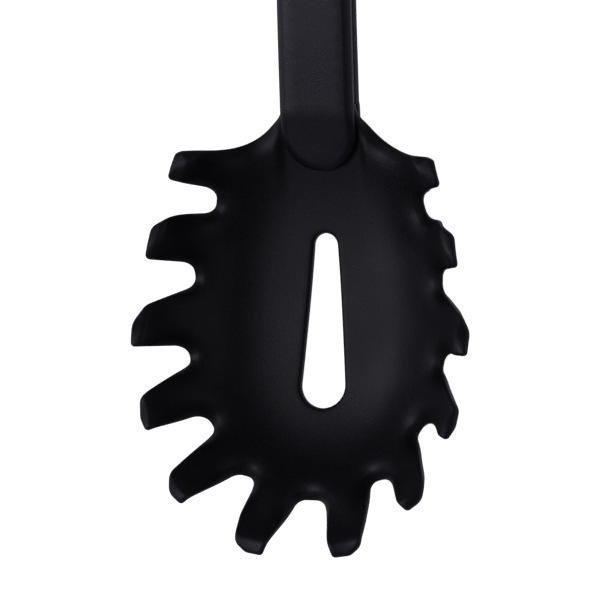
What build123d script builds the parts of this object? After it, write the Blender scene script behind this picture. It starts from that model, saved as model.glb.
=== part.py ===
from build123d import *
import math
import os

# Pasta server: a nylon scoop with twelve teeth and a drain slot, on a long bowed handle.
# It is drawn with the rim of the scoop level: X across, Y from the teeth towards the handle, Z up,
# and zero at the middle of the slot on the scoop's floor. At the end it is tipped into its rest
# pose, where the scoop's belly and the handle's end touch the table.

# Scoop
bowlHalfWidth = 34.7  # where the inner wall would meet the law's rim
bowlReach = 49.1
tipOverhang = 0.5
tipSetback = 0.9
toothSpan = bowlHalfWidth + tipOverhang  # from the middle line out to the widest teeth
tipReach = bowlReach - tipSetback  # from the slot's middle to the front teeth
rimLaw = 20.8
rimTop = 19.7  # the teeth end here, rolled over
rimRoll = 1.2
wall = 2.4
toothWall = 1.6
ovalShift = 4.0  # the widest place lies this far in front of the slot's middle
neckReach = 41.7
neckRise = 9.4
throatHalf = 21.7
neckNarrowing = bowlHalfWidth - throatHalf
noseDrop = 1.0
toothRound = 2.4
formMargin = 1.8
sidePower = 4.04
nosePower = 2.96
throatPower = 4.5
keelPower = 2.6

# Drain slot
slotBack = 17.7
slotFront = 18.0
slotBackRadius = 2.6
slotFrontRadius = 4.75

# Handle: a cover strip on a deeper back shell
handleReach = 218.0
handleThickness = 8.0
neckHalf = 7.5
neckStep = 2.4  # the scoop's neck ends this far behind the throat
neckTurn = 1.0
tongueRise = 2.3  # thickness of the cover strip, whose tongue lies on the scoop
tongueReach = 11.4
chinReach = 13.0
chinRun = 16.0
chinEdge = 0.8
gripHalf = 11.0
gripStart = 45.0
gripFull = 150.0
gripBend = 250.0
coverEdge = 1.1
backEdge = 2.2
neckPitch = 13.6
restTilt = 5.0
fit = 0.1
seat = 0.25  # the cover's tongue and the chin lie this far off the scoop's middle line

# Tang, core bar and fasteners inside the handle
tangReach = 30.0
tangHalf = 4.5
tangThickness = 1.8
tangRoot = 1.8
coreHalf = 4.0
coreThickness = 1.6
coreStart = 8.0
coreEndGap = 28.0  # from the hanging hole's middle
rivetRadius = 1.5
rivetStart = 13.0
rivetPitch = 12.0
rivetCount = 2
pinRadius = 0.7
pinLength = 3.2
pinDepth = 1.3  # the part of a pin that stands in the cover strip
pinInset = 1.4
pinStart = 12.0
pinEndGap = 41.0  # from the hanging hole's middle
pinRows = 3
holeInset = 12.0
holeRadius = 3.5
eyeletWall = 1.0
overrun = 3.0

# Half outline of the scoop seen from above, from the neck round the teeth to the nose notch.
# Each row: out from the middle as a share of toothSpan, towards the nose as a share of tipReach,
# and the corner's radius as a share of toothRound.
outlineShares = [
    (0.440, -0.716, 6.67),
    (0.727, -0.700, 0.50),
    (0.773, -0.685, 0.62),
    (0.810, -0.581, 0.25),
    (0.602, -0.546, 0.83),
    (0.625, -0.442, 1.04),
    (0.773, -0.434, 2.50),
    (0.895, -0.376, 1.00),
    (0.920, -0.235, 0.25),
    (0.741, -0.226, 0.79),
    (0.730, -0.135, 1.17),
    (0.943, -0.044, 1.50),
    (1.000, 0.031, 1.67),
    (0.997, 0.137, 0.25),
    (0.767, 0.124, 1.00),
    (0.747, 0.199, 0.67),
    (0.949, 0.355, 0.92),
    (0.935, 0.436, 1.25),
    (0.892, 0.492, 0.25),
    (0.665, 0.407, 1.17),
    (0.597, 0.481, 0.71),
    (0.759, 0.668, 1.67),
    (0.750, 0.747, 1.25),
    (0.670, 0.795, 0.25),
    (0.452, 0.654, 1.17),
    (0.341, 0.674, 0.75),
    (0.372, 0.830, 3.75),
    (0.375, 0.946, 1.00),
    (0.312, 0.983, 0.83),
    (0.210, 1.000, 0.33),
    (0.077, 0.757, 0.96),
]
neckRoomShare = 0.86
formColumns = 36
formRows = 48
curveSteps = 6
bellySteps = 200
down = (0, 0, -1)
across = (1, 0, 0)


# Forms of the scoop


def keel(y):
    """Height of the scoop's inner floor along its middle line."""
    back = y + ovalShift
    if back > 0:
        return neckRise * (back / (neckReach + ovalShift)) ** keelPower
    return -noseDrop * (back / (bowlReach - ovalShift)) ** 2


def bowl(x, y, skin):
    """Height of the scoop's inner form, or with skin = 1 of its outer form."""
    back = y + ovalShift
    floor = keel(y) - wall * skin
    halfWidth = bowlHalfWidth + toothWall * skin
    if back > 0:
        halfWidth -= neckNarrowing * (back / (neckReach + ovalShift)) ** 2
        power = sidePower + (throatPower - sidePower) * min(1, back / neckReach)
        return floor + (rimLaw - floor) * (abs(x) / halfWidth) ** power
    side = (x / halfWidth) ** 2
    nose = (back / (bowlReach - ovalShift + toothWall * skin)) ** 2
    if side + nose == 0:
        return floor
    power = sidePower + (nosePower - sidePower) * nose / (side + nose)
    return floor + (rimLaw - floor) * (side + nose) ** (power / 2)


def rolled(height, top):
    """The height, rolled over smoothly so that it never passes top."""
    over = (height - top) / rimRoll
    if over > rimLaw / rimRoll:
        return top
    return height - rimRoll * math.log(1 + math.exp(over))


def formFace(skin, top, margin):
    """The inner or the outer form as one smooth face, larger than the outline by a margin."""
    reach = toothSpan + margin
    front = -tipReach - margin
    length = neckReach + neckStep + margin - front
    grid = []
    for row in range(formRows + 1):
        y = front + length * row / formRows
        xs = [reach * (2 * column / formColumns - 1) for column in range(formColumns + 1)]
        grid.append([Vector(x, y, rolled(bowl(x, y, skin), top)) for x in xs])
    return Face.make_surface_from_array_of_points(grid, tol=fit / 5)


def mirroredFace(half, start):
    """A flat face from the right half of its outline and that half's mirror image."""
    edges = [*half.edges(), *mirror(half, about=Plane.YZ).edges()]
    if start[0] > 0:
        edges.append(Line((-start[0], start[1]), start).edge())
    return make_face(edges)


# Side view of the handle: arcs about one centre below it, so that its thickness is even

tilt = math.radians(restTilt)
neckAngle = math.radians(neckPitch)
neckTop = keel(neckReach) + tongueRise
neckUnder = neckTop - handleThickness
bellyStep = (neckReach + tipReach) / bellySteps
bellyYs = [step * bellyStep - tipReach for step in range(bellySteps + 1)]
bellyHeight = min((keel(y) - wall) * math.cos(tilt) - y * math.sin(tilt) for y in bellyYs)
neckClear = neckUnder * math.cos(tilt) - neckReach * math.sin(tilt) - bellyHeight
startSlope = neckAngle - tilt
endSlope = -startSlope - 2 * math.atan2(neckClear, handleReach)
bowRadius = handleReach / (math.sin(startSlope) - math.sin(endSlope))
bowY = neckReach + bowRadius * math.sin(neckAngle)
bowZ = neckUnder - bowRadius * math.cos(neckAngle)
handleEnd = bowY - bowRadius * math.sin(endSlope + tilt)
handleStart = neckReach + neckStep
holeMiddle = handleEnd - holeInset
coreEnd = holeMiddle - coreEndGap
backThickness = handleThickness - tongueRise


def onBow(y, rise):
    """The point of the handle's side view at y, so far above the handle's underside."""
    radius = bowRadius + rise
    return Vector(0, y, bowZ + math.sqrt(radius**2 - (y - bowY) ** 2))


def bowArc(start, end, rise):
    """The handle's arc from start to end at one height above the underside."""
    return ThreePointArc(onBow(start, rise), onBow((start + end) / 2, rise), onBow(end, rise))


def keelCurve(start, end, rise):
    """The scoop's floor line from start to end, raised."""
    ys = [start + (end - start) * step / curveSteps for step in range(curveSteps + 1)]
    return Spline([Vector(0, y, keel(y) + rise) for y in ys])


def sideSolid(curves, halfWidth):
    """A solid of one side view, as wide as twice halfWidth. The curves' ends are joined by lines."""
    edges = []
    for curve, following in zip(curves, curves[1:] + curves[:1]):
        edges.append(curve.edge())
        if (curve @ 1 - following @ 0).length > fit / 10:
            edges.append(Line(curve @ 1, following @ 0).edge())
    return extrude(make_face(edges), amount=halfWidth, dir=across, both=True)


def band(start, end, low, high, halfWidth):
    """A strip of the bowed handle between two heights above its underside."""
    return sideSolid([bowArc(start, end, high), bowArc(end, start, low)], halfWidth)


def rod(x, y, low, high, radius):
    """A rod across the handle, square to its bow, between two heights above its underside."""
    slope = math.degrees(math.asin((bowY - y) / bowRadius))
    place = Location(onBow(y, 0) + Vector(x, 0, 0), (slope, 0, 0)) * Pos(0, 0, low)
    return place * Cylinder(radius, high - low, align=(Align.CENTER, Align.CENTER, Align.MIN))


# Pieces


def makeHead():
    tall = rimLaw + wall
    inner = extrude(formFace(0, rimTop, formMargin), amount=tall, dir=down)
    outerFace = formFace(1, rimLaw + overrun, formMargin + toothWall)
    shell = inner - extrude(outerFace, amount=2 * tall, dir=down)
    corners = [(x * toothSpan, -y * tipReach) for x, y, radius in outlineShares]
    start = (neckHalf, handleStart)
    turn = (neckHalf, neckReach + neckTurn)
    bend = math.atan2(corners[0][0] - turn[0], turn[1] - corners[0][1])
    neckRound = neckRoomShare * (start[1] - turn[1]) / math.tan(bend / 2)
    radii = [neckRound] + [radius * toothRound for x, y, radius in outlineShares]
    points = [start, turn] + corners + [(0, corners[-1][1])]
    outline = mirroredFace(FilletPolyline(*points, radius=radii), start)
    head = shell & (Pos(0, 0, -tall) * extrude(outline, amount=2 * tall))
    head -= Pos(0, 0, -tall) * extrude(slotFace(), amount=2 * tall)
    tangEnds = (handleStart - tangRoot, handleStart + tangReach)
    tang = band(*tangEnds, backThickness - tangThickness, backThickness, tangHalf)
    return head + tang - rivetSolids(fit / 2)


def slotFace():
    """The teardrop drain slot: two rounds and the lines that touch both."""
    backY = slotBack - slotBackRadius
    frontY = slotFrontRadius - slotFront
    lean = math.asin((slotFrontRadius - slotBackRadius) / (backY - frontY))
    backTouch = Vector(math.cos(lean), math.sin(lean), 0) * slotBackRadius + Vector(0, backY, 0)
    frontTouch = Vector(math.cos(lean), math.sin(lean), 0) * slotFrontRadius + Vector(0, frontY, 0)
    backArc = ThreePointArc(backTouch, (0, slotBack), (-backTouch.X, backTouch.Y))
    frontArc = ThreePointArc((-frontTouch.X, frontTouch.Y), (0, -slotFront), frontTouch)
    sides = [Line(frontTouch, backTouch), Line(backArc @ 1, frontArc @ 0)]
    return make_face([backArc.edge(), frontArc.edge(), *[side.edge() for side in sides]])


def handlePlan(front, frontRadius):
    """The handle from above, from its round front to its round end."""
    points = [
        (0, front),
        (neckHalf, front),
        (neckHalf, handleStart + gripStart),
        (gripHalf, handleStart + gripFull),
        (gripHalf, handleEnd),
        (0, handleEnd),
    ]
    radii = [frontRadius, gripBend, gripBend, gripHalf - fit]
    return mirroredFace(FilletPolyline(*points, radius=radii), (0, front))


def planSolid(front):
    tall = handleReach / 2
    return Pos(0, 0, -tall / 2) * extrude(handlePlan(front, neckHalf - fit), amount=tall)


def rivetSolids(slack):
    low = backThickness - tangThickness - coreThickness
    rods = []
    for number in range(rivetCount):
        y = handleStart + rivetStart + number * rivetPitch
        rods.append(rod(0, y, low, backThickness, rivetRadius + slack))
    return rods


def pinSolids(slack):
    rods = []
    low = backThickness - (pinLength - pinDepth) - slack
    high = backThickness + pinDepth + slack
    first = handleStart + pinStart
    pitch = (holeMiddle - pinEndGap - first) / (pinRows - 1)
    for number in range(pinRows):
        for x in (pinInset - neckHalf, neckHalf - pinInset):
            rods.append(rod(x, first + number * pitch, low, high, pinRadius + slack))
    return rods


def eyeletHole():
    radius = holeRadius + eyeletWall + fit / 2
    return rod(0, holeMiddle, -overrun, handleThickness + overrun, radius)


def makeCover():
    front = neckReach - tongueReach
    bend = handleStart + neckStep
    tongueTop = keelCurve(front, neckReach - neckStep, tongueRise)
    joinStart = tongueTop @ 1
    joinEnd = onBow(bend, handleThickness)
    bendCurve = Spline(
        [joinStart, joinEnd],
        tangents=[tongueTop % 1, bowArc(bend, handleEnd, handleThickness) % 0],
    )
    over = handleEnd + overrun
    curves = [
        tongueTop,
        bendCurve,
        bowArc(bend, over, handleThickness),
        bowArc(over, handleStart, backThickness),
        keelCurve(handleStart, front, seat),
    ]
    cover = sideSolid(curves, gripHalf + overrun) & planSolid(front)
    cover = fillet(topEdges(cover), coverEdge)
    cover -= pinSolids(fit / 2)
    return cover - eyeletHole()


def topEdges(cover):
    """The cover strip's upper outer edges: neither crossing it, nor upright, nor along its bottom."""
    chosen = []
    for edge in cover.edges():
        middle = edge @ 0.5
        low = onBow(middle.Y, backThickness).Z if middle.Y > handleStart else keel(middle.Y) + seat
        along = edge % 0.5
        outer = max(abs(along.X), abs(along.Z)) < math.cos(math.pi / 6)
        if outer and abs(middle.X) > neckHalf / 4 and middle.Z > low + tongueRise / 3:
            chosen.append(edge)
    return chosen


def makeBack():
    front = neckReach - chinReach
    over = handleEnd + overrun
    under = bowArc(over, handleStart + chinRun, 0)
    chinTop = keelCurve(front, handleStart, -wall - seat)
    chinTip = chinTop @ 0 - Vector(0, 0, chinEdge)
    curves = [chinTop, bowArc(handleStart, over, backThickness), under, Line(under @ 1, chinTip)]
    back = sideSolid(curves, gripHalf + overrun) & planSolid(front)
    back = fillet(lowEdges(back), backEdge)
    floor = backThickness - tangThickness - fit
    tangEnd = handleStart + tangReach + fit
    back -= band(handleStart - tangRoot - fit, tangEnd, floor, handleThickness, tangHalf + fit)
    coreFrom = handleStart + coreStart - fit
    back -= band(coreFrom, coreEnd + fit, floor - coreThickness, handleThickness, coreHalf + fit)
    return back - pinSolids(fit / 2) - eyeletHole()


def lowEdges(back):
    """The back shell's lower outer edges along the bow."""
    chosen = []
    for edge in back.edges():
        middle = edge @ 0.5
        if middle.Y > handleStart + chinRun and abs(middle.X) > neckHalf / 4:
            if abs(middle.Z - onBow(middle.Y, 0).Z) < backThickness / 4:
                chosen.append(edge)
    return chosen


def makeCore():
    top = backThickness - tangThickness
    bar = band(handleStart + coreStart, coreEnd, top - coreThickness, top, coreHalf)
    return bar - rivetSolids(fit / 2)


def makeEyelet():
    bush = rod(0, holeMiddle, fit, handleThickness - fit, holeRadius + eyeletWall)
    return bush - rod(0, holeMiddle, -overrun, handleThickness + overrun, holeRadius)


def restPose(pieces):
    """The turn and shift that lay the part on a table, centred on the origin."""
    turn = Location((0, 0, 0), (-restTilt, 0, 0))
    box = Compound([turn * piece for piece in pieces]).bounding_box()
    return Location((0, -box.center().Y, -box.min.Z)) * turn


if __name__ == "__main__":
    os.makedirs("parts", exist_ok=True)
    pieces = {
        "scoop_head": makeHead(),
        "handle_cover": makeCover(),
        "handle_back": makeBack(),
        "core_bar": makeCore(),
        "tang_rivets": Compound(rivetSolids(0)),
        "locating_pins": Compound(pinSolids(0)),
        "hang_eyelet": makeEyelet(),
    }
    pose = restPose(pieces.values())
    for name, piece in pieces.items():
        placed = pose * piece
        print(name, round(placed.volume, 1), placed.is_valid, len(placed.solids()))
        export_step(placed, f"parts/{name}.step")
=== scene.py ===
import bpy
import math
import numpy as np
from mathutils import Matrix, Vector
from mathutils.geometry import delaunay_2d_cdt


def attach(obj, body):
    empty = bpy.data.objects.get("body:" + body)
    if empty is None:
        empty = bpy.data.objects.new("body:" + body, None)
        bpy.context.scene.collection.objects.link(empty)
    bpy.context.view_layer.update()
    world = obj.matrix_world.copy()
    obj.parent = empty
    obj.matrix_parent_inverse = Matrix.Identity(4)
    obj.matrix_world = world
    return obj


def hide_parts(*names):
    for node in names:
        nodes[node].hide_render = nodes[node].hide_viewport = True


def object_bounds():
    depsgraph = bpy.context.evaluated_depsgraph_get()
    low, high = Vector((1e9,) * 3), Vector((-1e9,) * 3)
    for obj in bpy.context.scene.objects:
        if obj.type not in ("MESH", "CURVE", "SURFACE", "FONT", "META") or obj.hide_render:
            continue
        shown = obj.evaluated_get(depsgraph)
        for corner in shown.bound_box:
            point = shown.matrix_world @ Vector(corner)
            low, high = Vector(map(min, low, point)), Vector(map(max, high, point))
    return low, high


# Pasta server: a black nylon scoop with fingers round its rim, on a long bowed handle.
# Everything is worked out in millimetres with the scoop's rim level, zero at the slot's middle on
# its floor, x across and y towards the handle, then tipped into the frame of the construction.

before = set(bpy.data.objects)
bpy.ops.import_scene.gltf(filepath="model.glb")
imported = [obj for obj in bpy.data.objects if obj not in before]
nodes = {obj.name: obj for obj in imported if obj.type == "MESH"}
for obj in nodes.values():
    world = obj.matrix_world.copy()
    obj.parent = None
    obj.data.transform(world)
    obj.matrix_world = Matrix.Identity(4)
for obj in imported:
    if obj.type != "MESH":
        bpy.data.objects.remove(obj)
frameLow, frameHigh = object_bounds()
print("frame loaded:", len(nodes), "nodes")

pose = {
    "millimetre": 0.001,
    "tilt": 5.0,  # degrees that the rim leans back by when the server lies on a table
    "frontToSlot": 46.264,  # from the front of the scoop's box to the slot's middle
    "floorHeight": 2.832,  # of the scoop's floor over the table, at the slot's middle
}
tilt = math.radians(pose["tilt"])
slotY = frameLow.y / pose["millimetre"] + pose["frontToSlot"]


# millimetres with the rim level to the frame's metres
def toFrame(points):
    y = points[:, 1] * math.cos(tilt) + points[:, 2] * math.sin(tilt) + slotY
    z = -points[:, 1] * math.sin(tilt) + points[:, 2] * math.cos(tilt) + pose["floorHeight"]
    return np.column_stack([points[:, 0], y, z]) * pose["millimetre"]


# 0 up to low, 1 from high on, and an easy bend between
def smooth(value, low, high):
    share = np.clip((value - low) / (high - low), 0, 1)
    return share * share * (3 - 2 * share)


# Plan outlines

# the round of a corner between its two neighbours: its centre and both ends
def roundCentre(before, here, after, radius):
    back = (before - here) / np.linalg.norm(before - here)
    ahead = (after - here) / np.linalg.norm(after - here)
    opening = math.acos(float(np.clip(back @ ahead, -1, 1)))
    centre = here + (back + ahead) / np.linalg.norm(back + ahead) * radius / math.sin(opening / 2)
    run = math.tan(opening / 2)
    return centre, here + back * radius / run, here + ahead * radius / run


# an open line through corners, each rounded, as points about one step apart
def roundedLine(line, radii, step):
    points = [np.array(line[0], float)]
    for index, radius in enumerate(radii):
        before, here, after = (np.array(corner, float) for corner in line[index:index + 3])
        centre, start, end = roundCentre(before, here, after, radius)
        first = math.atan2(*(start - centre)[::-1])
        turn = (math.atan2(*(end - centre)[::-1]) - first + math.pi) % math.tau - math.pi
        for share in np.linspace(0, 1, max(3, math.ceil(abs(turn) * radius / step)) + 1):
            angle = first + turn * share
            points.append(centre + radius * np.array([math.cos(angle), math.sin(angle)]))
    points.append(np.array(line[-1], float))
    return spaced(np.array(points), step)


# the same line with its points evenly apart
def spaced(points, step):
    lengths = np.concatenate([[0], np.cumsum(np.linalg.norm(np.diff(points, axis=0), axis=1))])
    at = np.linspace(0, lengths[-1], max(3, round(lengths[-1] / step)) + 1)
    return np.column_stack([np.interp(at, lengths, points[:, axis]) for axis in (0, 1)])


def arc(centre, radius, start, end, count):
    angles = np.linspace(start, end, count)
    return np.column_stack([np.cos(angles), np.sin(angles)]) * radius + centre


# a closed loop, material on its left, from a right half that starts and ends on the middle line
def bothSides(half):
    left = half[1:-1][::-1] * (-1, 1)
    loop = np.concatenate([half, left])
    area = np.sum(loop[:, 0] * np.roll(loop[:, 1], -1) - np.roll(loop[:, 0], -1) * loop[:, 1])
    return loop if area > 0 else loop[::-1]


# A moulding: two skins over one plan, closed by rounded lips round every edge

meshing = {
    "clearShare": 0.55,  # the grid's points keep this share of a step clear of the edges
    "batch": 2000,  # points that are measured against the edges at a time
    "merge": 1e-6,  # points closer than this are one
}


# unit normals that point into the material, which lies on the loop's left
def inward(loop):
    along = np.roll(loop, -1, axis=0) - np.roll(loop, 1, axis=0)
    along /= np.linalg.norm(along, axis=1)[:, None]
    return np.column_stack([-along[:, 1], along[:, 0]])


def inside(points, loop):
    found = np.zeros(len(points), bool)
    for start, end in zip(loop, np.roll(loop, -1, axis=0)):
        if start[1] == end[1]:
            continue
        crosses = (start[1] > points[:, 1]) != (end[1] > points[:, 1])
        at = start[0] + (points[:, 1] - start[1]) * (end[0] - start[0]) / (end[1] - start[1])
        found ^= crosses & (points[:, 0] < at)
    return found


def hexGrid(low, high, step):
    rows = np.arange(low[1], high[1], step * math.sqrt(3) / 2)
    columns = np.arange(low[0], high[0], step)
    return np.array([(x + (row % 2) * step / 2, y) for row, y in enumerate(rows) for x in columns])


def everywhere(points):
    return np.ones(len(points), bool)


# grid points inside the first loop and outside the others, clear of every loop; each grid has its
# step and a test for where it is wanted
def innerPoints(loops, grids):
    low, high = loops[0].min(axis=0), loops[0].max(axis=0)
    edge = np.concatenate(loops)
    batch = meshing["batch"]
    chosen = []
    for step, wanted in grids:
        points = hexGrid(low, high, step)
        points = points[wanted(points) & inside(points, loops[0])]
        for hole in loops[1:]:
            points = points[~inside(points, hole)]
        clear = np.ones(len(points), bool)
        for start in range(0, len(points), batch):
            part = points[start:start + batch]
            gaps = np.linalg.norm(part[:, None] - edge[None], axis=2).min(axis=1)
            clear[start:start + batch] = gaps > step * meshing["clearShare"]
        chosen.append(points[clear])
    return np.concatenate(chosen)


# faces of the middle between the innermost rings; seed holds the rings' points, then the grid's
def middleFaces(name, rims, seed):
    edges = []
    for rim in rims:
        start, size = len(edges), len(rim)
        edges += [(start + index, start + (index + 1) % size) for index in range(size)]
    flat, _, faces, origins, _, _ = delaunay_2d_cdt(
        [Vector(point) for point in seed], edges, [], 1, meshing["merge"], True
    )
    if len(flat) != len(seed):
        print("the edges of", name, "cross or meet")
    order = [origin[0] if origin else 0 for origin in origins]
    faces = np.array([[order[corner] for corner in face] for face in faces])
    centres = seed[faces].mean(axis=1)
    keep = inside(centres, rims[0])
    for hole in rims[1:]:
        keep &= ~inside(centres, hole)
    faces = faces[keep]
    sides = seed[faces[:, 1:]] - seed[faces[:, :1]]
    turned = sides[:, 0, 0] * sides[:, 1, 1] < sides[:, 0, 1] * sides[:, 1, 0]
    faces[turned] = faces[turned][:, ::-1]
    return faces


# a lip that is alike all round: its width, and its depths above and below
def evenLip(loop, width, above, below):
    return [np.full(len(loop), float(size)) for size in (width, above, below)]


# points and faces of two skins, top and bottom, over one plan. Each loop has a lip: its width, and
# its depths above and below. Roundness 2 makes it a quarter ellipse, and towards 1 it flattens
def moulding(name, loops, lips, top, bottom, grids, rings, roundness=2.0):
    angles = np.linspace(0, math.pi / 2, rings)
    inShares = 1 - np.cos(angles) ** (2 / roundness)
    downShares = 1 - np.sin(angles) ** (2 / roundness)
    plans, drops, rises = [], [], []
    for inShare, downShare in zip(inShares, downShares):
        rows = [loop + inward(loop) * (lip[0] * inShare)[:, None] for loop, lip in zip(loops, lips)]
        plans.append(np.concatenate(rows))
        drops.append(np.concatenate([lip[1] * downShare for lip in lips]))
        rises.append(np.concatenate([lip[2] * downShare for lip in lips]))
    starts = np.cumsum([0] + [len(loop) for loop in loops])
    innermost = plans[-1]
    rims = [innermost[start:end] for start, end in zip(starts, starts[1:])]
    middle = innerPoints(rims, grids)
    faces = middleFaces(name, rims, np.concatenate([innermost, middle]))
    level = np.zeros(len(middle))
    plan = np.concatenate(plans + [middle])
    over = top(*plan.T) - np.concatenate(drops + [level])
    under = bottom(*plan.T) + np.concatenate(rises + [level])
    total, count = len(innermost), len(plan)
    quads = []
    for start, end in zip(starts, starts[1:]):
        ring = np.arange(start, end)
        after = np.roll(ring, -1)
        for row in range(rings - 1):
            here, inner = row * total, (row + 1) * total
            quads.append(np.column_stack([ring + here, after + here, after + inner, ring + inner]))
            quads.append(np.column_stack([ring + here, ring + inner, after + inner, after + here]) + count)
        quads.append(np.column_stack([ring + count, after + count, after, ring]))
    faces = faces + total * (rings - 1)
    every = np.concatenate(quads).tolist() + faces.tolist() + (faces + count)[:, ::-1].tolist()
    points = np.concatenate([np.column_stack([plan, over]), np.column_stack([plan, under])])
    return points, every


def makePiece(name, points, faces):
    mesh = bpy.data.meshes.new(name)
    mesh.from_pydata(points.tolist(), [], faces)
    mesh.validate()
    mesh.shade_smooth()
    piece = bpy.data.objects.new(name, mesh)
    bpy.context.scene.collection.objects.link(piece)
    print(name, "has", sum(len(face) - 2 for face in faces), "triangles")
    return piece


# Finishes

nylon = {
    "dark": (0.0008, 0.0007, 0.0011),
    "pale": (0.0165, 0.0154, 0.0195),
    "speck": (0.09, 0.09, 0.10),
    "roughness": 0.50,
    "roughSpread": 0.03,
    "specular": 0.5,
    "flowScale": 70,
    "flowDetail": 2,
    "flowRange": (0.3, 0.7),  # of the noise, spread over the roughness
    "grainScale": 5200,
    "grainDetail": 0,
    "grainRange": (0.45, 0.75),  # of the noise, from dark to pale
    "speckScale": 700,
    "speckSize": 0.07,
    "bump": 1.0,
    "bumpDepth": 0.000035,
}


def shaded(name, color, roughness, specular=0.5, metallic=0.0):
    material = bpy.data.materials.new(name)
    material.use_nodes = True
    shader = material.node_tree.nodes["Principled BSDF"]
    shader.inputs["Base Color"].default_value = (*color, 1)
    shader.inputs["Roughness"].default_value = roughness
    shader.inputs["Specular IOR Level"].default_value = specular
    shader.inputs["Metallic"].default_value = metallic
    return material


# moulded nylon: a fine matt grain, faint flow mottling and a few pale specks
def grained(name, finish):
    material = shaded(name, finish["dark"], finish["roughness"], finish["specular"])
    tree = material.node_tree
    shader = tree.nodes["Principled BSDF"]
    place = tree.nodes.new("ShaderNodeTexCoord").outputs["Object"]

    def noise(scale, detail):
        made = tree.nodes.new("ShaderNodeTexNoise")
        made.inputs["Scale"].default_value = scale
        made.inputs["Detail"].default_value = detail
        tree.links.new(place, made.inputs["Vector"])
        return made.outputs["Fac"]

    def ramp(source, *values):
        made = tree.nodes.new("ShaderNodeMapRange")
        for socket, value in zip(made.inputs[1:5], values):
            socket.default_value = value
        tree.links.new(source, made.inputs[0])
        return made.outputs[0]

    def mixed(share, first, second):
        made = tree.nodes.new("ShaderNodeMix")
        made.data_type = "RGBA"
        tree.links.new(share, made.inputs["Factor"])
        for socket, value in (("A", first), ("B", second)):
            if isinstance(value, tuple):
                made.inputs[socket].default_value = (*value, 1)
            else:
                tree.links.new(value, made.inputs[socket])
        return made.outputs["Result"]

    grain = noise(finish["grainScale"], finish["grainDetail"])
    specks = tree.nodes.new("ShaderNodeTexVoronoi")
    specks.inputs["Scale"].default_value = finish["speckScale"]
    tree.links.new(place, specks.inputs["Vector"])
    speck = ramp(specks.outputs["Distance"], 0, finish["speckSize"], 1, 0)
    body = mixed(ramp(grain, *finish["grainRange"], 0, 1), finish["dark"], finish["pale"])
    tree.links.new(mixed(speck, body, finish["speck"]), shader.inputs["Base Color"])
    flow = noise(finish["flowScale"], finish["flowDetail"])
    low, high = finish["roughness"] - finish["roughSpread"], finish["roughness"] + finish["roughSpread"]
    tree.links.new(ramp(flow, *finish["flowRange"], low, high), shader.inputs["Roughness"])
    bump = tree.nodes.new("ShaderNodeBump")
    bump.inputs["Strength"].default_value = finish["bump"]
    bump.inputs["Distance"].default_value = finish["bumpDepth"]
    tree.links.new(grain, bump.inputs["Height"])
    tree.links.new(bump.outputs["Normal"], shader.inputs["Normal"])
    return material


# Scoop

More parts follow.
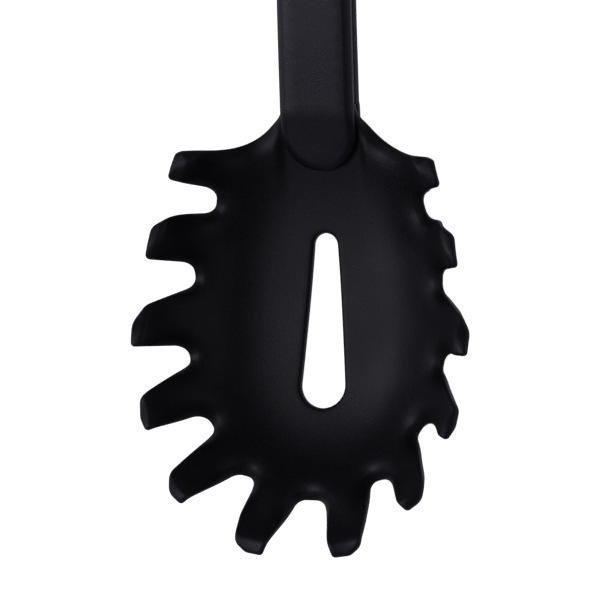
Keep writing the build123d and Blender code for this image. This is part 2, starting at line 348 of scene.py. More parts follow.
scoop = {
    "halfWidth": 34.7,  # where the inner wall would meet the law's rim
    "reach": 48.3,
    "rimLaw": 23.0,
    "rimTop": 19.8,  # the teeth bend over below this height
    "rimRoll": 1.0,  # and this softly
    "wall": 2.4,
    "toothWall": 1.6,
    "tipWall": 1.3,
    "ovalShift": 4.0,  # the widest place lies this far in front of the slot's middle
    "ovalPower": 2.3,
    "neckReach": 41.7,
    "neckStep": 2.4,  # the neck runs this far behind the throat, into the handle
    "neckTurn": 0.4,  # the neck's side turns out this far behind the throat
    "neckHalf": 7.7,
    "neckRise": 9.4,
    "throatHalf": 18.5,
    "neckRoom": 0.86,  # share of the room there that the corner's round takes
    "noseDrop": 1.0,
    "tipOverhang": 0.7,
    "tipSetback": 0.1,
    "toothRound": 2.4,
    "sidePower": 4.04,
    "nosePower": 2.96,
    "throatPower": 4.5,
    "keelPower": 2.6,
    "slotBack": 17.7,
    "slotFront": 18.0,
    "slotBackRadius": 2.5,
    "slotFrontRadius": 4.65,
    "slotSteps": (24, 40),  # points on its back and front rounds
    # the sheet swells inside each gap's root and each shoulder, then rolls down to the edge:
    # depth and reach of the roll, height and reach of the swelling
    "rootRoll": (3.1, 3.0, 2.2, 6.2),
    "shoulderRoll": (2.5, 3.2, 1.9, 7.0),
    "shoulderStart": 2.0,  # its roll grows over this run beside the neck
    "shoulderEnd": 19.0,  # and fades over shoulderFade from here
    "shoulderFade": 6.0,
    # corners at each tooth's end and the lift there: the tooth reaches the rim's top sooner, and so
    # ends level
    "tips": [(2, 3, 4.0), (7, 8, 4.0), (12, 13, 4.0), (17, 18, 4.0), (22, 23, 4.0), (28, 29, 1.5)],
    "liftReach": 4.5,
    # corner, depth and reach of the places where the teeth droop, or lift if negative
    "droops": [
        (6, 1.6, 5.0), (11, 2.2, 4.5), (16, 1.3, 4.5), (21, 0.9, 4.5), (23, -1.5, 4.5), (28, 1.2, 9.0),
    ],
    "noseSag": 2.0,  # the two front teeth lie this much lower
    "sagStart": 34.0,
    "sagEnd": 43.0,
    # half outline, neck to nose gap: out as a share of the span, forward as a share of the reach,
    # corner radius as a share of toothRound
    "outline": [
        (0.429, -0.710, 6.67), (0.727, -0.696, 0.50), (0.766, -0.685, 0.50), (0.810, -0.574, 0.35),
        (0.606, -0.539, 0.83), (0.629, -0.442, 1.04), (0.773, -0.430, 2.50), (0.898, -0.371, 1.00),
        (0.929, -0.235, 0.35), (0.741, -0.226, 0.79), (0.730, -0.135, 1.17), (0.941, -0.038, 2.10),
        (1.002, 0.035, 1.67), (0.997, 0.137, 0.35), (0.767, 0.124, 1.00), (0.747, 0.199, 0.67),
        (0.949, 0.355, 0.92), (0.935, 0.436, 1.25), (0.892, 0.492, 0.35), (0.665, 0.407, 1.17),
        (0.597, 0.481, 0.71), (0.759, 0.668, 1.67), (0.750, 0.747, 1.25), (0.670, 0.795, 0.35),
        (0.452, 0.660, 1.17), (0.341, 0.680, 0.75), (0.372, 0.830, 3.75), (0.375, 0.946, 1.00),
        (0.312, 0.988, 0.83), (0.210, 1.000, 0.33), (0.077, 0.763, 0.96),
    ],
    "roots": [(4, 5), (9, 10), (14, 15), (19, 20), (24, 25)],  # corners at the bottom of each gap
    "sideLip": 0.6,  # widths of the rounded edge
    "rootLip": 2.2,
    "shoulderLip": 2.4,
    "neckLip": 0.15,
    "neckLipGrowth": 0.3,  # per millimetre away from the handle
    "hollowest": 0.22,  # curvature of a gap's root, where the lip has its full width
    "sharpLip": 0.6,  # share of a sharp corner's radius that the lip may take
    "straightest": 0.01,  # an edge that curves less counts as this
    "bendWindow": 8,  # points to each side that the edge's hollowness is evened over
    "bendSpread": 3,
    "lipPasses": 6,
    "lipDepth": 0.75,
    "lipExtra": 0.6,
    "lipTallShare": 0.6,  # at most this share of the sheet's thickness
    "underLip": 0.5,
    "underLipShare": 0.25,
    "lipRoundness": 1.5,
    "slotLip": 0.6,
    "lipRings": 8,
    "edgeStep": 0.45,
    "coarseGrid": 0.9,
    "fineGrid": 0.5,
    "fineFrom": 7.0,  # the grid is fine where the wall is higher than this
    "tangReach": 30.0,
    "tangRoot": 1.8,
    "tangHalf": 4.5,
    "tangThickness": 1.8,
    "tangRows": 40,
}
handleStart = scoop["neckReach"] + scoop["neckStep"]
tipReach = scoop["reach"] - scoop["tipSetback"]
toothSpan = scoop["halfWidth"] + scoop["tipOverhang"]
corners = [np.array([x * toothSpan, -y * tipReach]) for x, y, radius in scoop["outline"]]
neckCorner = np.array([scoop["neckHalf"], scoop["neckReach"] + scoop["neckTurn"]])


# circles that the sheet dips round: centre, radius, depth, reach and the run beside the neck
def dipRings():
    rings = []
    for first, second in scoop["roots"]:
        start, end = corners[first], corners[second]
        half = np.linalg.norm(end - start) / 2
        outward = np.array([start[1] - end[1], end[0] - start[0]]) / (2 * half)
        rings.append(((start + end) / 2 + outward * half, half, *scoop["rootRoll"], 0))
    nose = corners[-1]
    rings.append((nose * (0, 1) - (0, nose[0]), nose[0], *scoop["rootRoll"], 0))
    radius = scoop["outline"][0][2] * scoop["toothRound"]
    centre = roundCentre(neckCorner, corners[0], corners[1], radius)[0]
    rings.append((centre, radius, *scoop["shoulderRoll"], scoop["shoulderStart"]))
    return rings


def dips(x, y):
    total = 0 * x
    for (centreX, centreY), radius, depth, reach, rise, riseReach, start in dipRings():
        away = np.maximum(np.hypot(np.abs(x) - centreX, y - centreY) - radius, 0)
        dip = depth * np.exp(-((away / reach) ** 2)) - rise * np.exp(-((away / riseReach) ** 2))
        if start:
            fadeEnd = scoop["shoulderEnd"] + scoop["shoulderFade"]
            dip = dip * smooth(np.abs(x), scoop["neckHalf"], scoop["neckHalf"] + start)
            dip = dip * (1 - smooth(np.abs(x), scoop["shoulderEnd"], fadeEnd))
        total = total + dip
    for corner, depth, reach in scoop["droops"]:
        away = np.hypot(np.abs(x) - corners[corner][0], y - corners[corner][1])
        total = total + depth * np.exp(-((away / reach) ** 2))
    return total + scoop["noseSag"] * smooth(-y, scoop["sagStart"], scoop["sagEnd"])


def tipLift(x, y):
    total = 0 * x
    for first, second, lift in scoop["tips"]:
        start, side = corners[first], corners[second] - corners[first]
        alongX, alongY = np.abs(x) - start[0], y - start[1]
        share = np.clip((alongX * side[0] + alongY * side[1]) / (side @ side), 0, 1)
        away = np.hypot(alongX - share * side[0], alongY - share * side[1])
        total = total + lift * np.exp(-((away / scoop["liftReach"]) ** 2))
    return total


# height of the inner skin along the middle line
def keel(y):
    back = y + scoop["ovalShift"]
    run = np.maximum(back, 0) / (scoop["neckReach"] + scoop["ovalShift"])
    drop = np.minimum(back, 0) / (scoop["reach"] - scoop["ovalShift"])
    return scoop["neckRise"] * run ** scoop["keelPower"] - scoop["noseDrop"] * drop**2


# the law of both skins, before the rim bends over: skin is 0 for the inner one, 1 for the outer
def bowl(x, y, skin):
    back = y + scoop["ovalShift"]
    floor = keel(y) - scoop["wall"] * skin
    halfWidth = scoop["halfWidth"] + scoop["toothWall"] * skin
    run = np.maximum(back, 0)
    narrowing = scoop["halfWidth"] - scoop["throatHalf"]
    narrowed = halfWidth - narrowing * (run / (scoop["neckReach"] + scoop["ovalShift"])) ** 2
    throat = scoop["throatPower"] - scoop["sidePower"]
    backPower = scoop["sidePower"] + throat * np.minimum(1, run / scoop["neckReach"])
    backShare = (np.abs(x) / narrowed) ** backPower
    oval = scoop["ovalPower"]
    side = (np.abs(x) / halfWidth) ** oval
    noseReach = scoop["reach"] - scoop["ovalShift"] + scoop["toothWall"] * skin
    nose = (np.maximum(-back, 0) / noseReach) ** oval
    both = np.maximum(side + nose, 1e-9)  # never zero, for the division
    nosePower = scoop["sidePower"] + (scoop["nosePower"] - scoop["sidePower"]) * nose / both
    noseShare = both ** (nosePower / oval)
    return floor + (scoop["rimLaw"] - floor) * np.where(back > 0, backShare, noseShare)


# a height that bends over smoothly and never passes the top
def rolled(height, top):
    return height - scoop["rimRoll"] * np.logaddexp(0, (height - top) / scoop["rimRoll"])


def innerForm(x, y):
    return rolled(bowl(x, y, 0) + tipLift(x, y), scoop["rimTop"]) - dips(x, y)


def outerForm(x, y):
    free = rolled(bowl(x, y, 1) + tipLift(x, y), scoop["rimTop"] - scoop["tipWall"]) - dips(x, y)
    return np.minimum(free, innerForm(x, y) - scoop["tipWall"])


def scoopLoop():
    bend = math.atan2(corners[0][0] - neckCorner[0], neckCorner[1] - corners[0][1])
    neckRound = scoop["neckRoom"] * (scoop["neckStep"] - scoop["neckTurn"]) / math.tan(bend / 2)
    radii = [neckRound] + [radius * scoop["toothRound"] for x, y, radius in scoop["outline"]]
    start = (scoop["neckHalf"], handleStart)
    line = roundedLine([start, neckCorner] + corners + [(0, corners[-1][1])], radii, scoop["edgeStep"])
    top = spaced(np.array([(0, handleStart), start]), scoop["edgeStep"])[:-1]
    return bothSides(np.concatenate([top, line]))


def slotLoop():
    small, wide = scoop["slotBackRadius"], scoop["slotFrontRadius"]
    backY = scoop["slotBack"] - small
    frontY = wide - scoop["slotFront"]
    lean = math.asin((wide - small) / (backY - frontY))
    backSteps, frontSteps = scoop["slotSteps"]
    back = arc((0, backY), small, math.pi / 2, lean, backSteps)
    front = arc((0, frontY), wide, lean, -math.pi / 2, frontSteps)
    half = spaced(np.concatenate([back, front]), scoop["edgeStep"])
    half[0, 0] = half[-1, 0] = 0
    return bothSides(half)[::-1]


# how hollow the edge is at each point of a loop, evened over its neighbours, and how sharp
def bends(loop, step):
    along = np.roll(loop, -1, axis=0) - loop
    angle = np.unwrap(np.arctan2(along[:, 1], along[:, 0]))
    turning = np.diff(angle, prepend=angle[0] - (angle[0] - angle[-1]) % math.tau)
    turning = (turning + math.pi) % math.tau - math.pi
    shifts = range(-scoop["bendWindow"], scoop["bendWindow"] + 1)
    weights = np.exp(-0.5 * (np.array(shifts) / scoop["bendSpread"]) ** 2)
    evened = sum(weight * np.roll(turning, shift) for weight, shift in zip(weights, shifts))
    sharp = (turning + np.roll(turning, 1) + np.roll(turning, -1)) / (3 * step)
    return -evened / (weights.sum() * step), sharp


# wide in the gaps' roots and at the shoulders, narrow along the teeth and at sharp corners
def lipWidth(loop):
    hollow, sharp = bends(loop, scoop["edgeStep"])
    narrow = scoop["sideLip"]
    width = narrow + (scoop["rootLip"] - narrow) * np.clip(hollow / scoop["hollowest"], 0, 1)
    (centreX, centreY), radius, *_ = dipRings()[-1]
    away = np.abs(np.hypot(np.abs(loop[:, 0]) - centreX, loop[:, 1] - centreY) - radius)
    width = np.maximum(width, scoop["shoulderLip"] * (away < scoop["edgeStep"]))
    width = np.minimum(width, scoop["sharpLip"] / np.maximum(sharp, scoop["straightest"]))
    neckGap = np.hypot(np.abs(loop[:, 0]) - scoop["neckHalf"], loop[:, 1] - handleStart)
    width = np.minimum(width, scoop["neckLip"] + scoop["neckLipGrowth"] * neckGap)
    for _ in range(scoop["lipPasses"]):
        width = np.minimum(width, (np.roll(width, 1) + 2 * width + np.roll(width, -1)) / 4)
    return width


# the flat tang that runs back inside the handle: a closed bar along the bow
def tangBar():
    starts = handleStart - scoop["tangRoot"]
    ys = np.linspace(starts, handleStart + scoop["tangReach"], scoop["tangRows"])
    low, high = coverLow - scoop["tangThickness"], coverLow
    section = [(-1, low), (1, low), (1, high), (-1, high)]
    points = [(side * scoop["tangHalf"], y, onBow(y, rise)) for y in ys for side, rise in section]
    last = 4 * (len(ys) - 1)
    faces = [[0, 1, 2, 3], [last + 3, last + 2, last + 1, last]]
    for row in range(0, last, 4):
        for side in range(4):
            here, beside = row + side, row + (side + 1) % 4
            faces.append([here, here + 4, beside + 4, beside])
    return np.array(points), faces


def makeScoop():
    outer, slot = scoopLoop(), slotLoop()
    tall = innerForm(*outer.T) - outerForm(*outer.T)
    width = lipWidth(outer)
    above = np.minimum((width + scoop["lipExtra"]) * scoop["lipDepth"], tall * scoop["lipTallShare"])
    below = np.minimum(scoop["underLip"], tall * scoop["underLipShare"])
    slotLip = scoop["slotLip"]
    lips = [(width, above, below), evenLip(slot, slotLip, slotLip, slotLip)]

    def onFloor(points):
        return innerForm(*points.T) < scoop["fineFrom"]

    def onWall(points):
        return ~onFloor(points)

    grids = [(scoop["coarseGrid"], onFloor), (scoop["fineGrid"], onWall)]
    loops = [outer, slot]
    rings, roundness = scoop["lipRings"], scoop["lipRoundness"]
    points, faces = moulding("scoopBowl", loops, lips, innerForm, outerForm, grids, rings, roundness)
    bar, barFaces = tangBar()
    faces = faces + [[corner + len(points) for corner in face] for face in barFaces]
    piece = makePiece("scoopBowl", toFrame(np.concatenate([points, bar])), faces)
    piece.data.materials.append(grained("scoopNylon", nylon))
    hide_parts("scoop_head")
    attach(piece, "root")


# Handle: its thickness lies between arcs about one centre far below, so that it is even

bow = {
    "reach": 218.0,
    "thickness": 8.0,
    "coverThickness": 2.3,
    "neckPitch": 13.6,
    "gripHalf": 11.0,
    "gripStart": 45.0,
    "gripFull": 150.0,
    "gripBend": 250.0,
    "holeInset": 12.0,
    "holeRadius": 4.55,
    "holeSteps": 64,
    "turnRun": 15.0,  # the walls turn square to the bow over this run behind the neck
    "fit": 0.1,
    "seat": 0.25,
    "edgeStep": 0.6,
    "grid": 2.0,
    "lipRings": 8,
    "bellySamples": 201,
}
neckAngle = math.radians(bow["neckPitch"])
neckUnder = float(keel(scoop["neckReach"])) + bow["coverThickness"] - bow["thickness"]
bellyY = np.linspace(-tipReach, scoop["neckReach"], bow["bellySamples"])
bellyHeight = float(np.min((keel(bellyY) - scoop["wall"]) * math.cos(tilt) - bellyY * math.sin(tilt)))
neckClear = neckUnder * math.cos(tilt) - scoop["neckReach"] * math.sin(tilt) - bellyHeight
startSlope = neckAngle - tilt
endSlope = -startSlope - 2 * math.atan2(neckClear, bow["reach"])
bowRadius = bow["reach"] / (math.sin(startSlope) - math.sin(endSlope))
bowY = scoop["neckReach"] + bowRadius * math.sin(neckAngle)
bowZ = neckUnder - bowRadius * math.cos(neckAngle)
handleEnd = bowY - bowRadius * math.sin(endSlope + tilt)
coverLow = bow["thickness"] - bow["coverThickness"]


def onBow(y, rise):
    return bowZ + np.sqrt((bowRadius + rise) ** 2 - (y - bowY) ** 2)


def handleLoop(front):
    neck = scoop["neckHalf"]
    grip = bow["gripHalf"]
    line = [
        (0, front), (neck, front), (neck, handleStart + bow["gripStart"]),
        (grip, handleStart + bow["gripFull"]), (grip, handleEnd), (0, handleEnd),
    ]
    radii = [neck - bow["fit"], bow["gripBend"], bow["gripBend"], grip - bow["fit"]]
    return bothSides(roundedLine(line, radii, bow["edgeStep"]))


def holeLoop():
    middle = (0, handleEnd - bow["holeInset"])
    return arc(middle, bow["holeRadius"], 0, -math.tau, bow["holeSteps"] + 1)[:-1]


# a geometry node tree with named inputs, filled in from a dictionary of values
class Tree:
    def __init__(self, name, sizes):
        self.tree = bpy.data.node_groups.new(name, "GeometryNodeTree")
        face = self.tree.interface
        face.new_socket("Geometry", in_out="INPUT", socket_type="NodeSocketGeometry")
        for size, value in sizes.items():
            kind = "NodeSocketInt" if isinstance(value, int) else "NodeSocketFloat"
            face.new_socket(size, in_out="INPUT", socket_type=kind)
        face.new_socket("Material", in_out="INPUT", socket_type="NodeSocketMaterial")
        face.new_socket("Geometry", in_out="OUTPUT", socket_type="NodeSocketGeometry")
        self.sizes = sizes
        self.given = self.tree.nodes.new("NodeGroupInput").outputs
        self.result = self.tree.nodes.new("NodeGroupOutput").inputs

    def node(self, kind, values=(), **settings):
        made = self.tree.nodes.new(kind)
        for setting, value in settings.items():
            setattr(made, setting, value)
        for index, value in enumerate(values):
            self.plug(made.inputs[index], value)
        return made

    def plug(self, socket, value):
        if isinstance(value, bpy.types.NodeSocket):
            self.tree.links.new(value, socket)
        elif value is not None:
            socket.default_value = value

    def maths(self, operation, *values):
        return self.node("ShaderNodeMath", values, operation=operation).outputs[0]

    def xyz(self, x, y, z):
        return self.node("ShaderNodeCombineXYZ", (x, y, z)).outputs[0]

    # one of the values for each index
    def byIndex(self, index, values):
        switch = self.node("GeometryNodeIndexSwitch", data_type="FLOAT")
        while len(switch.index_switch_items) < len(values):
            switch.index_switch_items.new()
        self.plug(switch.inputs["Index"], index)
        for number, value in enumerate(values):
            self.plug(switch.inputs[number + 1], value)
        return switch.outputs[0]

    # tips millimetres with the rim level into the frame, then ends the tree
    def finish(self, geometry):
        place = self.node("GeometryNodeTransform")
        metre = pose["millimetre"]
        self.plug(place.inputs["Geometry"], geometry)
        place.inputs["Translation"].default_value = (0, slotY * metre, pose["floorHeight"] * metre)
        place.inputs["Rotation"].default_value = (-tilt, 0, 0)
        place.inputs["Scale"].default_value = (metre, metre, metre)
        real = self.node("GeometryNodeRealizeInstances", (place.outputs[0],)).outputs[0]
        painted = self.node("GeometryNodeSetMaterial", (real, None, self.given["Material"])).outputs[0]
        self.plug(self.result[0], painted)

    # runs the tree on an object and leaves a plain mesh
    def apply(self, piece, material):
        modifier = piece.modifiers.new("shape", "NODES")
        modifier.node_group = self.tree
        for item in self.tree.interface.items_tree:
            if item.in_out == "INPUT" and item.name in self.sizes:
                modifier[item.identifier] = self.sizes[item.name]
            elif item.in_out == "INPUT" and item.name == "Material":
                modifier[item.identifier] = material
        depsgraph = bpy.context.evaluated_depsgraph_get()
        mesh = bpy.data.meshes.new_from_object(piece.evaluated_get(depsgraph), depsgraph=depsgraph)
        piece.modifiers.remove(modifier)
        piece.data = mesh
        mesh.name = piece.name
        mesh.shade_smooth()
        print(piece.name, "has", len(mesh.polygons), "faces")


# bends a level strip, whose z is its height over the handle's underside, along the bow
def bendTree(name):
    sizes = {
        "Bow radius": bowRadius, "Centre y": bowY, "Centre z": bowZ,
        "Middle": bow["thickness"] / 2, "Turn start": handleStart, "Turn run": bow["turnRun"],
    }
    tree = Tree(name, sizes)
    given, maths = tree.given, tree.maths
    position = tree.node("GeometryNodeInputPosition").outputs[0]
    x, y, rise = tree.node("ShaderNodeSeparateXYZ", (position,)).outputs
    fromCentre = maths("SUBTRACT", given["Centre y"], y)
    slope = maths("ARCSINE", maths("DIVIDE", fromCentre, given["Bow radius"]))
    turnEnd = maths("ADD", given["Turn start"], given["Turn run"])
    turning = (y, given["Turn start"], turnEnd, 0.0, 1.0)
    lean = tree.node("ShaderNodeMapRange", turning, interpolation_type="SMOOTHSTEP").outputs[0]
    up = maths("SUBTRACT", rise, given["Middle"])
    back = maths("MULTIPLY", maths("MULTIPLY", up, maths("SINE", slope)), lean)
    middle = maths("ADD", given["Bow radius"], given["Middle"])
    square = maths("SUBTRACT", maths("POWER", middle, 2.0), maths("POWER", fromCentre, 2.0))
    line = maths("ADD", given["Centre z"], maths("SQRT", square))
    upright = maths("MULTIPLY_ADD", maths("SUBTRACT", maths("COSINE", slope), 1.0), lean, 1.0)
    place = tree.xyz(x, maths("SUBTRACT", y, back), maths("MULTIPLY_ADD", up, upright, line))
    bent = tree.node("GeometryNodeSetPosition", (given["Geometry"], None, place)).outputs[0]
    tree.finish(bent)
    return tree


# Cover: the strip that shows over the scoop's neck

cover = {
    "tongueReach": 11.4,
    "bendStart": 3.5,  # the tongue begins to rise this far in front of the neck's end
    "bendEnd": 2.0,
    "bevel": 1.6,
    "bevelDepth": 1.1,
    "bevelRoundness": 1.3,
    "holeLip": 0.4,
    "finish": dict(
        nylon, dark=(0.0010, 0.0008, 0.0020), pale=(0.0170, 0.0150, 0.0250), roughness=0.42, specular=0.75
    ),
}


def makeCover():
    front = scoop["neckReach"] - cover["tongueReach"]
    outer, hole = handleLoop(front), holeLoop()

    def top(x, y):
        tongue = keel(y) + bow["coverThickness"] - onBow(y, 0)
        bend = smooth(y, scoop["neckReach"] - cover["bendStart"], scoop["neckReach"] + cover["bendEnd"])
        return tongue + (bow["thickness"] - tongue) * bend

    def bottom(x, y):
        tongue = keel(y) + bow["seat"] - onBow(y, 0)
        return np.where(y < handleStart, tongue, coverLow)

    lips = [
        evenLip(outer, cover["bevel"], cover["bevelDepth"], 0),
        evenLip(hole, cover["holeLip"], cover["holeLip"], 0),
    ]
    grids = [(bow["grid"], everywhere)]
    loops = [outer, hole]
    rings, roundness = bow["lipRings"], cover["bevelRoundness"]
    points, faces = moulding("handleCover", loops, lips, top, bottom, grids, rings, roundness)
    piece = makePiece("handleCover", points, faces)
    bendTree("coverBend").apply(piece, grained("coverNylon", cover["finish"]))
    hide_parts("handle_cover")
    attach(piece, "root")


# Back shell: the deeper part under the cover, with a chin under the scoop's neck

shell = {
    "chinReach": 13.0,
    "chinRun": 16.0,
    "chinEdge": 0.8,
    "lip": 2.4,
    "lipDepth": 2.2,
    "lipTallShare": 0.4,
    "holeLip": 0.4,
    "finish": dict(nylon, roughness=0.5),
}


def makeShell():
    front = scoop["neckReach"] - shell["chinReach"]
    outer, hole = handleLoop(front), holeLoop()
    chinEnd = handleStart + shell["chinRun"]
    under = scoop["wall"] + bow["seat"]
    tipHeight = float(keel(front)) - under - shell["chinEdge"]
    endHeight = float(onBow(chinEnd, 0))

    def top(x, y):
        return np.where(y < handleStart, keel(y) - under - onBow(y, 0), coverLow)

    def bottom(x, y):
        line = tipHeight + (endHeight - tipHeight) * (y - front) / (chinEnd - front)
        return np.where(y < chinEnd, line - onBow(y, 0), 0)

    tall = top(*outer.T) - bottom(*outer.T)
    width, above, _ = evenLip(outer, shell["lip"], 0, 0)
    below = np.minimum(shell["lipDepth"], tall * shell["lipTallShare"])
    lips = [(width, above, below), evenLip(hole, shell["holeLip"], 0, shell["holeLip"])]
    grids = [(bow["grid"], everywhere)]
    points, faces = moulding("handleBack", [outer, hole], lips, top, bottom, grids, bow["lipRings"])
    piece = makePiece("handleBack", points, faces)
    bendTree("backBend").apply(piece, grained("backNylon", shell["finish"]))
    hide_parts("handle_back")
    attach(piece, "root")


# Small pieces inside the handle

rivets = {
    "rows": 2,
    "start": 13.0,  # of the first one, from the handle's start
    "pitch": 12.0,
    "length": 3.4,
    "radius": 1.5,
    "bevel": 0.2,
    "sides": 32,
    "metal": (0.74, 0.74, 0.76),
    "roughness": 0.3,
}
pins = {
    "rows": 3,
    "columns": 2,
    "start": 12.0,
    "endGap": 41.0,  # from the hanging hole's middle
    "inset": 1.4,
    "under": 1.9,  # into the back shell and into the cover
    "over": 1.3,
    "radius": 0.7,
    "bevel": 0.12,
    "sides": 32,
}
core = {"steel": (0.50, 0.50, 0.52), "roughness": 0.34}
eyelet = {"finish": dict(cover["finish"], roughness=0.38)}


# rows of rods, square to the bow, with a small bevel at both ends
def rodTree(name, sizes):
    tree = Tree(name, {**sizes, "Bow radius": bowRadius, "Centre y": bowY, "Centre z": bowZ})
    given, maths = tree.given, tree.maths
    index = tree.node("GeometryNodeInputIndex").outputs[0]
    column = maths("MODULO", index, given["Columns"])
    row = maths("FLOOR", maths("DIVIDE", index, given["Columns"]))
    middle = maths("DIVIDE", maths("SUBTRACT", given["Columns"], 1.0), 2.0)
    x = maths("MULTIPLY", maths("SUBTRACT", column, middle), given["Column pitch"])
    y = maths("MULTIPLY_ADD", row, given["Row pitch"], given["First row"])
    fromCentre = maths("SUBTRACT", given["Centre y"], y)
    square = maths("SUBTRACT", maths("POWER", given["Bow radius"], 2.0), maths("POWER", fromCentre, 2.0))
    z = maths("ADD", given["Centre z"], maths("SQRT", square))
    slope = maths("ARCSINE", maths("DIVIDE", fromCentre, given["Bow radius"]))
    count = maths("MULTIPLY", given["Rows"], given["Columns"])
    points = tree.node("GeometryNodePoints", (count, tree.xyz(x, y, z))).outputs[0]
    low, high, wide = given["Low"], given["High"], given["Radius"]
    thin = maths("SUBTRACT", wide, given["Bevel"])
    heights = (low, maths("ADD", low, given["Bevel"]), maths("SUBTRACT", high, given["Bevel"]), high)
    profile = tree.node("GeometryNodeMeshLine", (len(heights),))
    position = tree.xyz(0.0, 0.0, tree.byIndex(index, heights))
    placed = tree.node("GeometryNodeSetPosition", (profile.outputs[0], None, position)).outputs[0]
    curve = tree.node("GeometryNodeMeshToCurve", (placed,)).outputs[0]
    widths = tree.byIndex(index, (thin, wide, wide, thin))
    sized = tree.node("GeometryNodeSetCurveRadius", (curve, None, widths)).outputs[0]
    ring = tree.node("GeometryNodeCurvePrimitiveCircle", (given["Sides"],)).outputs[0]
    rod = tree.node("GeometryNodeCurveToMesh", (sized, ring))
    rod.inputs["Fill Caps"].default_value = True
    spread = tree.node("GeometryNodeInstanceOnPoints", (points,))
    tree.plug(spread.inputs["Instance"], rod.outputs[0])
    tree.plug(spread.inputs["Rotation"], tree.xyz(slope, 0.0, 0.0))
    tree.finish(spread.outputs[0])
    return tree


def makeRods(name, sizes, material):
    piece = bpy.data.objects.new(name, bpy.data.meshes.new(name))
    bpy.context.scene.collection.objects.link(piece)
    rodTree(name + "Row", sizes).apply(piece, material)
    return piece


def makeRivets():
    sizes = {
        "Rows": rivets["rows"], "Columns": 1, "First row": handleStart + rivets["start"],
        "Row pitch": rivets["pitch"], "Column pitch": 0.0, "Low": coverLow - rivets["length"],
        "High": coverLow, "Radius": rivets["radius"], "Bevel": rivets["bevel"],
        "Sides": rivets["sides"],
    }
    metal = shaded("rivetAluminium", rivets["metal"], rivets["roughness"], metallic=1.0)
    piece = makeRods("tangRivets", sizes, metal)
    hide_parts("tang_rivets")
    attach(piece, "root")


def makePins():
    first = handleStart + pins["start"]
    last = handleEnd - bow["holeInset"] - pins["endGap"]
    sizes = {
        "Rows": pins["rows"], "Columns": pins["columns"], "First row": first,
        "Row pitch": (last - first) / (pins["rows"] - 1),
        "Column pitch": 2 * (scoop["neckHalf"] - pins["inset"]), "Low": coverLow - pins["under"],
        "High": coverLow + pins["over"], "Radius": pins["radius"], "Bevel": pins["bevel"],
        "Sides": pins["sides"],
    }
    piece = makeRods("locatingPins", sizes, grained("pinNylon", shell["finish"]))
    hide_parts("locating_pins")
    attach(piece, "root")


# the core bar and the bush in the hanging hole keep their solids and get their finishes
def dressNode(name, material):
    nodes[name].data.materials.clear()
    nodes[name].data.materials.append(material)


makeScoop()
print("scoop made")
makeCover()
makeShell()
print("handle made")
makeRivets()
makePins()
dressNode("core_bar", shaded("coreSteel", core["steel"], core["roughness"], metallic=1.0))
dressNode("hang_eyelet", grained("eyeletNylon", eyelet["finish"]))
print("small pieces made")

# Stage: floor, lights and camera

studio = {
    "floorSize": 12.0,
    "floorWhite": 0.86,
    "floorRoughness": 0.8,
    "floorSpecular": 0.1,
    "floorGlow": 1.0,  # a lit pale table, so the picture's ground is clear white
    "aim": (-2.05, 3.43, 10.0),  # what the picture's middle shows
    "toCamera": (0.2575, 0.0, 0.9663),
    "pictureUp": (-0.02705, 0.9996, 0.0072),
    "pictureWidth": 122.97,
    "distance": 3.0,
    "farthest": 30.0,
    "sensor": 36.0,
    "cool": (0.96, 0.92, 1.13),
    "aboveGlow": 0.05,
    "belowGlow": 0.30,
    "horizon": (-0.12, 0.0),  # the world's height over which its glow changes
    "lightSide": 0.35,
    # name: degrees to the right and towards the handle from straight above, watts
    "lights": {
        "key": (-30, 0, 1.65),
        "top": (-15, 0, 0.10),
        "leftLow": (-78, 0, 0.50),
        "rightLow": (70, 0, 0.32),
        "nose": (-15, -65, 0.14),
        "noseLeft": (-45, -33, 0.10),
    },
}
aim = Vector(toFrame(np.array([studio["aim"]]))[0])


# a direction of the level scoop in the frame
def turned(direction):
    x, y, z = direction
    ahead = y * math.cos(tilt) + z * math.sin(tilt)
    up = -y * math.sin(tilt) + z * math.cos(tilt)
    return Vector((x, ahead, up))


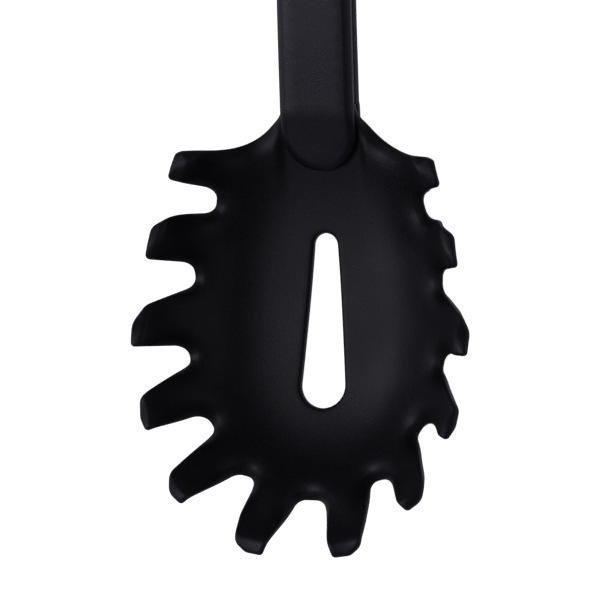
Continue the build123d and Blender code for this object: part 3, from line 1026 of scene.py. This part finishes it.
def makeFloor():
    size = studio["floorSize"]
    outline = [(-size, -size, 0), (size, -size, 0), (size, size, 0), (-size, size, 0)]
    mesh = bpy.data.meshes.new("floor")
    mesh.from_pydata(outline, [], [(0, 1, 2, 3)])
    floor = bpy.data.objects.new("floor", mesh)
    bpy.context.scene.collection.objects.link(floor)
    white = (studio["floorWhite"],) * 3
    material = shaded("paleFloor", white, studio["floorRoughness"], studio["floorSpecular"])
    shader = material.node_tree.nodes["Principled BSDF"]
    shader.inputs["Emission Color"].default_value = (1, 1, 1, 1)
    shader.inputs["Emission Strength"].default_value = studio["floorGlow"]
    mesh.materials.append(material)
    floor.visible_glossy = False  # the server mirrors the studio, not the lit table
    floor.visible_diffuse = False
    floor.visible_shadow = False


def makeLights():
    for name, (right, ahead, watts) in studio["lights"].items():
        light = bpy.data.lights.new(name, "AREA")
        light.size = studio["lightSide"]
        light.energy = watts
        light.color = studio["cool"]
        across, along = math.radians(right), math.radians(ahead)
        side, up = math.sin(across) * math.cos(along), math.cos(across) * math.cos(along)
        way = turned((side, math.sin(along), up))
        holder = bpy.data.objects.new(name, light)
        holder.location = aim + way
        holder.rotation_euler = way.to_track_quat("Z", "Y").to_euler()
        bpy.context.scene.collection.objects.link(holder)


# a dim room over a paler ground
def makeWorld():
    world = bpy.data.worlds.new("studio")
    world.use_nodes = True
    tree = world.node_tree
    background = tree.nodes["Background"]
    background.inputs[0].default_value = (*studio["cool"], 1)
    place = tree.nodes.new("ShaderNodeTexCoord")
    parts = tree.nodes.new("ShaderNodeSeparateXYZ")
    fall = tree.nodes.new("ShaderNodeMapRange")
    glow = (*studio["horizon"], studio["belowGlow"], studio["aboveGlow"])
    for socket, value in zip(fall.inputs[1:5], glow):
        socket.default_value = value
    tree.links.new(place.outputs["Generated"], parts.inputs[0])
    tree.links.new(parts.outputs["Z"], fall.inputs[0])
    tree.links.new(fall.outputs[0], background.inputs[1])
    bpy.context.scene.world = world


def makeCamera():
    lens = bpy.data.cameras.new("camera")
    lens.sensor_width = studio["sensor"]
    lens.lens = studio["sensor"] * studio["distance"] / (studio["pictureWidth"] * pose["millimetre"])
    lens.clip_end = studio["farthest"]
    camera = bpy.data.objects.new("camera", lens)
    back = turned(studio["toCamera"]).normalized()
    up = turned(studio["pictureUp"])
    up = (up - back * up.dot(back)).normalized()
    axes = (up.cross(back), up, back, aim + back * studio["distance"])
    camera.matrix_world = Matrix([(*row,) for row in zip(*axes)] + [(0, 0, 0, 1)])
    bpy.context.scene.collection.objects.link(camera)
    bpy.context.scene.camera = camera


makeFloor()
makeLights()
makeWorld()
makeCamera()
bpy.context.scene.view_settings.view_transform = "Standard"
print("stage set")
